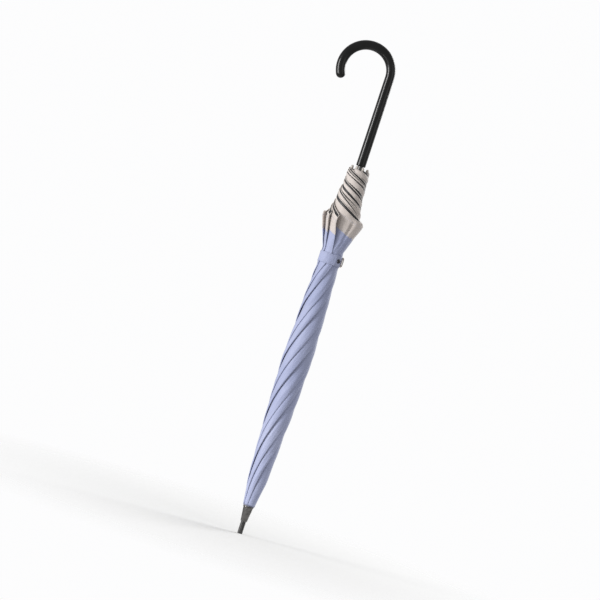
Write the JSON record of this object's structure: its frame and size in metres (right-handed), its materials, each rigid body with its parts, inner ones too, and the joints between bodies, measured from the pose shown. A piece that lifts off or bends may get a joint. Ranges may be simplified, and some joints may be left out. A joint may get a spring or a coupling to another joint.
{
  "type": "umbrella",
  "caption": "Stick umbrella, rolled and tied, with a crook handle, folding ribs, stretchers, runner and sprung catches.",
  "frame": {"origin": "centre of the flat tip of the ferrule", "axes": "+Z along the shaft from the ferrule to the handle; the handle's hook curls towards -X"},
  "size_m": [0.1203, 0.068, 0.7949],
  "materials": {
    "canopy_cloth": "plain woven polyester, satin",
    "shaft_black": "black enamel",
    "handle_black": "gloss",
    "cap_black": "gloss",
    "rib_steel": "black enamelled steel",
    "wire_steel": "drawn wire",
    "tip_plastic": "satin",
    "fitting_black": "moulded, satin",
    "ring_metal": "polished",
    "button_dark": "gloss"
  },
  "bodies": {
    "shaft": {"shaft": "shaft_black", "ferrule_rod": "shaft_black", "ferrule_cap": "cap_black", "top_rosette": "canopy_cloth", "handle": "handle_black", "top_notch": "fitting_black", "notch_wire": "wire_steel", "notch_pin": "wire_steel", "stop_pin": "wire_steel"},
    "rib_1": {"rib_1": "rib_steel", "rib_tip_1": "tip_plastic", "rivet_1": "wire_steel"},
    "stretcher_1": {"stretcher_1": "rib_steel"},
    "gore_1": {"gore_1": "canopy_cloth"},
    "rib_2": {"rib_2": "rib_steel", "rib_tip_2": "tip_plastic", "rivet_2": "wire_steel"},
    "stretcher_2": {"stretcher_2": "rib_steel"},
    "gore_2": {"gore_2": "canopy_cloth"},
    "rib_3": {"rib_3": "rib_steel", "rib_tip_3": "tip_plastic", "rivet_3": "wire_steel"},
    "stretcher_3": {"stretcher_3": "rib_steel"},
    "gore_3": {"gore_3": "canopy_cloth"},
    "rib_4": {"rib_4": "rib_steel", "rib_tip_4": "tip_plastic", "rivet_4": "wire_steel"},
    "stretcher_4": {"stretcher_4": "rib_steel"},
    "gore_4": {"gore_4": "canopy_cloth"},
    "rib_5": {"rib_5": "rib_steel", "rib_tip_5": "tip_plastic", "rivet_5": "wire_steel"},
    "stretcher_5": {"stretcher_5": "rib_steel"},
    "gore_5": {"gore_5": "canopy_cloth"},
    "rib_6": {"rib_6": "rib_steel", "rib_tip_6": "tip_plastic", "rivet_6": "wire_steel"},
    "stretcher_6": {"stretcher_6": "rib_steel"},
    "gore_6": {"gore_6": "canopy_cloth"},
    "rib_7": {"rib_7": "rib_steel", "rib_tip_7": "tip_plastic", "rivet_7": "wire_steel"},
    "stretcher_7": {"stretcher_7": "rib_steel"},
    "gore_7": {"gore_7": "canopy_cloth"},
    "rib_8": {"rib_8": "rib_steel", "rib_tip_8": "tip_plastic", "rivet_8": "wire_steel", "strap": "canopy_cloth", "strap_ring": "ring_metal", "strap_button": "button_dark"},
    "stretcher_8": {"stretcher_8": "rib_steel"},
    "gore_8": {"gore_8": "canopy_cloth"},
    "runner": {"runner": "fitting_black", "runner_wire": "wire_steel"},
    "opening_catch": {"opening_catch": "wire_steel"},
    "closing_catch": {"closing_catch": "wire_steel"}
  },
  "joints": [
    {"name": "fold", "type": "hinge", "parent": "shaft", "child": "rib_1", "pos_m": [0.00573, 0.00237, 0.062], "axis": [-0.3827, 0.9239, 0], "range_deg": [0, 65]},
    {"name": "rib_2_swing", "type": "hinge", "parent": "shaft", "child": "rib_2", "pos_m": [0.00237, 0.00573, 0.062], "axis": [-0.9239, 0.3827, 0], "range_deg": [0, 65]},
    {"name": "rib_3_swing", "type": "hinge", "parent": "shaft", "child": "rib_3", "pos_m": [-0.00237, 0.00573, 0.062], "axis": [-0.9239, -0.3827, 0], "range_deg": [0, 65]},
    {"name": "rib_4_swing", "type": "hinge", "parent": "shaft", "child": "rib_4", "pos_m": [-0.00573, 0.00237, 0.062], "axis": [-0.3827, -0.9239, 0], "range_deg": [0, 65]},
    {"name": "rib_5_swing", "type": "hinge", "parent": "shaft", "child": "rib_5", "pos_m": [-0.00573, -0.00237, 0.062], "axis": [0.3827, -0.9239, 0], "range_deg": [0, 65]},
    {"name": "rib_6_swing", "type": "hinge", "parent": "shaft", "child": "rib_6", "pos_m": [-0.00237, -0.00573, 0.062], "axis": [0.9239, -0.3827, 0], "range_deg": [0, 65]},
    {"name": "rib_7_swing", "type": "hinge", "parent": "shaft", "child": "rib_7", "pos_m": [0.00237, -0.00573, 0.062], "axis": [0.9239, 0.3827, 0], "range_deg": [0, 65]},
    {"name": "rib_8_swing", "type": "hinge", "parent": "shaft", "child": "rib_8", "pos_m": [0.00573, -0.00237, 0.062], "axis": [0.3827, 0.9239, 0], "range_deg": [0, 65], "deforming": ["strap"]},
    {"name": "stretcher_1_swing", "type": "hinge", "parent": "rib_1", "child": "stretcher_1", "pos_m": [0.00619, 0.00256, 0.29901], "axis": [-0.3827, 0.9239, 0], "range_deg": [-130, 0]},
    {"name": "stretcher_2_swing", "type": "hinge", "parent": "rib_2", "child": "stretcher_2", "pos_m": [0.00256, 0.00619, 0.29901], "axis": [-0.9239, 0.3827, 0], "range_deg": [-130, 0]},
    {"name": "stretcher_3_swing", "type": "hinge", "parent": "rib_3", "child": "stretcher_3", "pos_m": [-0.00256, 0.00619, 0.29901], "axis": [-0.9239, -0.3827, 0], "range_deg": [-130, 0]},
    {"name": "stretcher_4_swing", "type": "hinge", "parent": "rib_4", "child": "stretcher_4", "pos_m": [-0.00619, 0.00256, 0.29901], "axis": [-0.3827, -0.9239, 0], "range_deg": [-130, 0]},
    {"name": "stretcher_5_swing", "type": "hinge", "parent": "rib_5", "child": "stretcher_5", "pos_m": [-0.00619, -0.00256, 0.29901], "axis": [0.3827, -0.9239, 0], "range_deg": [-130, 0]},
    {"name": "stretcher_6_swing", "type": "hinge", "parent": "rib_6", "child": "stretcher_6", "pos_m": [-0.00256, -0.00619, 0.29901], "axis": [0.9239, -0.3827, 0], "range_deg": [-130, 0]},
    {"name": "stretcher_7_swing", "type": "hinge", "parent": "rib_7", "child": "stretcher_7", "pos_m": [0.00256, -0.00619, 0.29901], "axis": [0.9239, 0.3827, 0], "range_deg": [-130, 0]},
    {"name": "stretcher_8_swing", "type": "hinge", "parent": "rib_8", "child": "stretcher_8", "pos_m": [0.00619, -0.00256, 0.29901], "axis": [0.3827, 0.9239, 0], "range_deg": [-130, 0]},
    {"name": "runner_slide", "type": "hinge", "parent": "stretcher_1", "child": "runner", "pos_m": [0.00573, 0.00237, 0.53603], "axis": [-0.3827, 0.9239, 0], "range_deg": [0, 65]},
    {"name": "gore_1_spread", "type": "hinge", "parent": "rib_1", "child": "gore_1", "pos_m": [0.00475, 0.00475, 0.062], "axis": [-0.6094, -0.6094, -0.5072], "range_deg": [0, 47.51], "deforming": ["gore_1"]},
    {"name": "gore_2_spread", "type": "hinge", "parent": "rib_2", "child": "gore_2", "pos_m": [0, 0.00671, 0.062], "axis": [0, -0.8618, -0.5072], "range_deg": [0, 47.51], "deforming": ["gore_2"]},
    {"name": "gore_3_spread", "type": "hinge", "parent": "rib_3", "child": "gore_3", "pos_m": [-0.00475, 0.00475, 0.062], "axis": [0.6094, -0.6094, -0.5072], "range_deg": [0, 47.51], "deforming": ["gore_3"]},
    {"name": "gore_4_spread", "type": "hinge", "parent": "rib_4", "child": "gore_4", "pos_m": [-0.00671, 0, 0.062], "axis": [0.8618, 0, -0.5072], "range_deg": [0, 47.51], "deforming": ["gore_4"]},
    {"name": "gore_5_spread", "type": "hinge", "parent": "rib_5", "child": "gore_5", "pos_m": [-0.00475, -0.00475, 0.062], "axis": [0.6094, 0.6094, -0.5072], "range_deg": [0, 47.51], "deforming": ["gore_5"]},
    {"name": "gore_6_spread", "type": "hinge", "parent": "rib_6", "child": "gore_6", "pos_m": [0, -0.00671, 0.062], "axis": [0, 0.8618, -0.5072], "range_deg": [0, 47.51], "deforming": ["gore_6"]},
    {"name": "gore_7_spread", "type": "hinge", "parent": "rib_7", "child": "gore_7", "pos_m": [0.00475, -0.00475, 0.062], "axis": [-0.6094, 0.6094, -0.5072], "range_deg": [0, 47.51], "deforming": ["gore_7"]},
    {"name": "gore_8_spread", "type": "hinge", "parent": "rib_8", "child": "gore_8", "pos_m": [0.00671, 0, 0.062], "axis": [-0.8618, 0, -0.5072], "range_deg": [0, 47.51], "deforming": ["gore_8"]},
    {"name": "opening_catch_press", "type": "slide", "parent": "shaft", "child": "opening_catch", "axis": [1, 0, 0], "range_m": [0, 0.0011], "stiffness_N_per_m": 600},
    {"name": "closing_catch_press", "type": "slide", "parent": "shaft", "child": "closing_catch", "axis": [1, 0, 0], "range_m": [0, 0.0011], "stiffness_N_per_m": 600}
  ],
  "couplings": [
    {"joint": "rib_2_swing", "follows": "fold", "ratio": 1},
    {"joint": "rib_3_swing", "follows": "fold", "ratio": 1},
    {"joint": "rib_4_swing", "follows": "fold", "ratio": 1},
    {"joint": "rib_5_swing", "follows": "fold", "ratio": 1},
    {"joint": "rib_6_swing", "follows": "fold", "ratio": 1},
    {"joint": "rib_7_swing", "follows": "fold", "ratio": 1},
    {"joint": "rib_8_swing", "follows": "fold", "ratio": 1},
    {"joint": "stretcher_1_swing", "follows": "fold", "ratio": -2},
    {"joint": "stretcher_2_swing", "follows": "fold", "ratio": -2},
    {"joint": "stretcher_3_swing", "follows": "fold", "ratio": -2},
    {"joint": "stretcher_4_swing", "follows": "fold", "ratio": -2},
    {"joint": "stretcher_5_swing", "follows": "fold", "ratio": -2},
    {"joint": "stretcher_6_swing", "follows": "fold", "ratio": -2},
    {"joint": "stretcher_7_swing", "follows": "fold", "ratio": -2},
    {"joint": "stretcher_8_swing", "follows": "fold", "ratio": -2},
    {"joint": "runner_slide", "follows": "fold", "ratio": 1},
    {"joint": "gore_1_spread", "follows": "fold", "ratio": 0.73019},
    {"joint": "gore_2_spread", "follows": "fold", "ratio": 0.73019},
    {"joint": "gore_3_spread", "follows": "fold", "ratio": 0.73019},
    {"joint": "gore_4_spread", "follows": "fold", "ratio": 0.73019},
    {"joint": "gore_5_spread", "follows": "fold", "ratio": 0.73019},
    {"joint": "gore_6_spread", "follows": "fold", "ratio": 0.73019},
    {"joint": "gore_7_spread", "follows": "fold", "ratio": 0.73019},
    {"joint": "gore_8_spread", "follows": "fold", "ratio": 0.73019}
  ]
}
